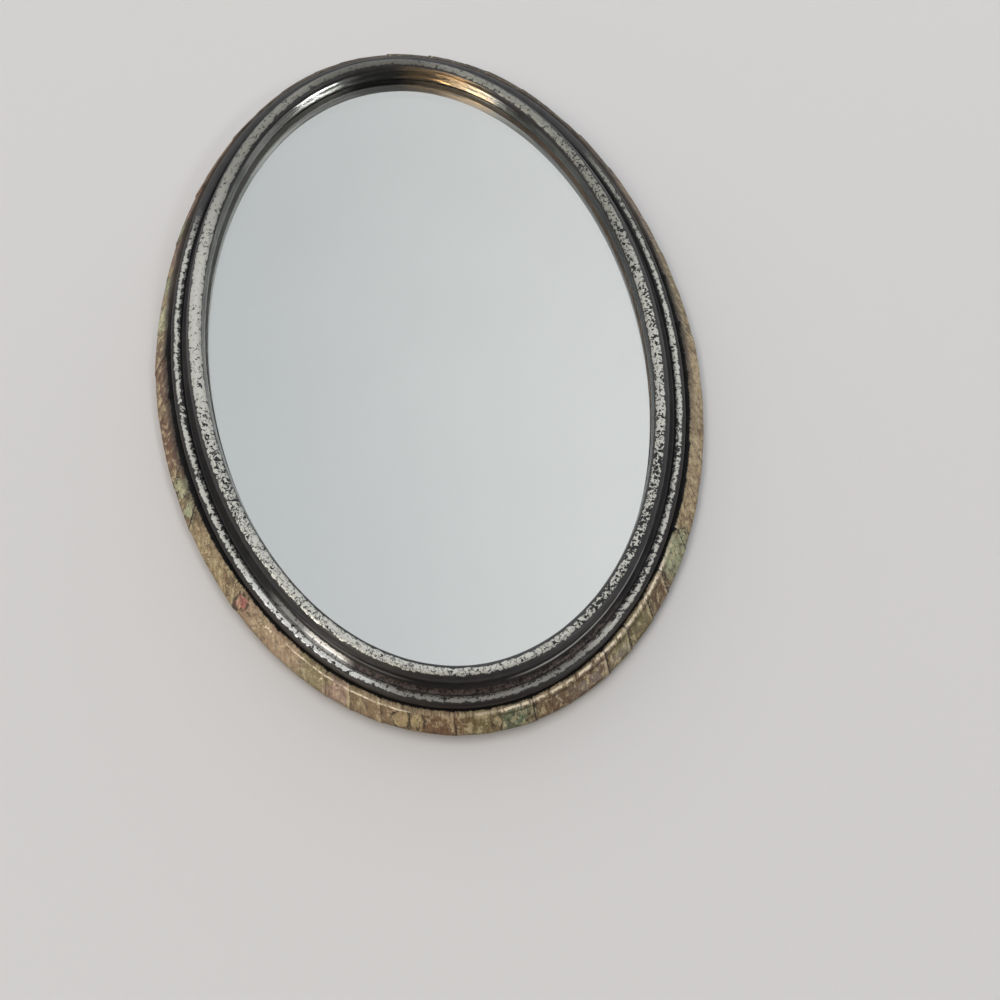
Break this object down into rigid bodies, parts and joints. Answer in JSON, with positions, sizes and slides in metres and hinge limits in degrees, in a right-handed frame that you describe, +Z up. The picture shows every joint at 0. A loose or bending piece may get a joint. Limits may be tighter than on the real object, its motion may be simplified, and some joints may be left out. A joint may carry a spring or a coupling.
{
  "type": "oval framed mirror",
  "caption": "Small oval mirror: silvered glass under an antiqued beaded metal moulding, on a bevelled board covered with decorated varnished paper; lies flat on its back.",
  "frame": {"origin": "middle of the flat back, on the surface the mirror lies on", "axes": "+Z up out of the glass, +Y along the length of the oval, +X across it"},
  "size_m": [0.0852, 0.1253, 0.0064],
  "materials": {
    "board": "matte",
    "decorated_paper": "gloss",
    "glue": "satin",
    "tape": "matte",
    "card": "matte",
    "mirror_paint": "satin",
    "silvering": "polished",
    "glass": "polished",
    "antiqued_metal": "satin"
  },
  "bodies": {
    "root": {"backing_board": "board", "cover_sheet": "decorated_paper", "moulding_glue": "glue", "tape_strips": "tape", "packing_card": "card", "back_paint": "mirror_paint", "silver_film": "silvering", "mirror_glass": "glass", "frame_moulding": "antiqued_metal"}
  },
  "joints": []
}
